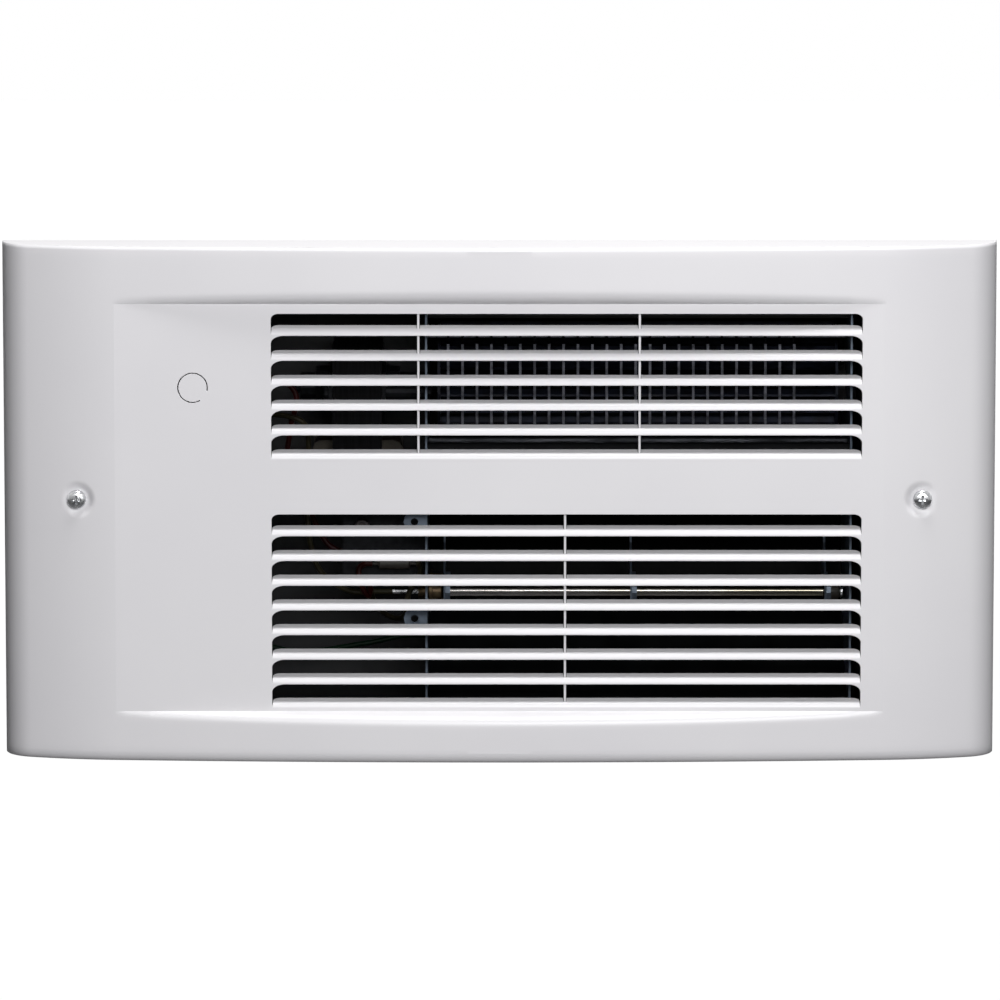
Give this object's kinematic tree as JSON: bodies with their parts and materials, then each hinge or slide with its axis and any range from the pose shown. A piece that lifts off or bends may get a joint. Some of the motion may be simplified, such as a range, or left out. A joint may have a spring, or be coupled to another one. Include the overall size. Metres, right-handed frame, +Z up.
{
  "type": "recessed wall fan heater",
  "caption": "Recessed wall fan heater: bowed louvred steel cover over a wall can with crossflow blower, shaded-pole motor, sheathed element rods and manual-reset limit.",
  "frame": {"origin": "in the wall surface plane, on the vertical centre line of the cover and 130.2 mm below its top edge", "axes": "+X to the right as seen from the room, +Y into the wall, +Z up"},
  "size_m": [0.5016, 0.1438, 0.2619],
  "materials": {
    "casing": "satin powder coat",
    "galvanised": "galvanised",
    "dark_sheet": "dark heat-resistant coat",
    "bright_steel": "zinc plated",
    "sheath": "heat-tinted sheath",
    "lamination": "stacked laminations",
    "rubber": "matte",
    "bronze": "sintered",
    "winding": "varnished winding",
    "nylon": "moulded",
    "bakelite": "moulded",
    "button_red": "moulded",
    "ceramic": "unglazed",
    "wire_red": "insulation",
    "wire_white": "insulation",
    "wire_green": "insulation"
  },
  "bodies": {
    "heater": {"front_cover": "casing", "cover_screw_left": "bright_steel", "cover_screw_right": "bright_steel", "wall_can": "dark_sheet", "left_side_plate": "galvanised", "right_side_plate": "galvanised", "chassis_screw": "bright_steel", "blower_scroll": "dark_sheet", "blower_tongue": "dark_sheet", "intake_guard": "bright_steel", "bearing_bush": "bronze", "bearing_grommet": "rubber", "motor_stator": "lamination", "motor_coil": "winding", "coil_bobbin": "nylon", "motor_bridge_drive": "galvanised", "motor_bridge_rear": "galvanised", "motor_screw_front": "bright_steel", "motor_spacer_front": "galvanised", "motor_screw_back": "bright_steel", "motor_spacer_back": "galvanised", "heating_element_front": "sheath", "element_insulator_front": "ceramic", "element_bushing_front": "bronze", "element_terminal_front": "bright_steel", "heating_element_rear": "sheath", "element_insulator_rear": "ceramic", "element_bushing_rear": "bronze", "element_terminal_rear": "bright_steel", "element_link": "bright_steel", "element_rail": "galvanised", "element_support_left": "galvanised", "element_support_middle": "galvanised", "element_support_right": "galvanised", "limit_bracket": "galvanised", "limit_switch": "bakelite", "thermal_fuse": "ceramic", "terminal_block": "nylon", "cable_clamp": "bright_steel", "clamp_locknut": "bright_steel", "ground_screw": "wire_green", "supply_lead_red": "wire_red", "supply_lead_white": "wire_white", "limit_lead": "wire_red", "fuse_lead": "wire_white", "ground_wire": "wire_green"},
    "blower": {"blower_wheel": "galvanised", "motor_rotor": "lamination", "motor_shaft": "bright_steel"},
    "reset": {"reset_button": "button_red"}
  },
  "joints": [
    {"name": "blower_spin", "type": "hinge", "parent": "heater", "child": "blower", "pos_m": [0.07, 0.046, 0.05], "axis": [1, 0, 0], "continuous": true},
    {"name": "reset_push", "type": "slide", "parent": "heater", "child": "reset", "axis": [0, 1, 0], "range_m": [0, 0.0015], "stiffness_N_per_m": 400}
  ]
}
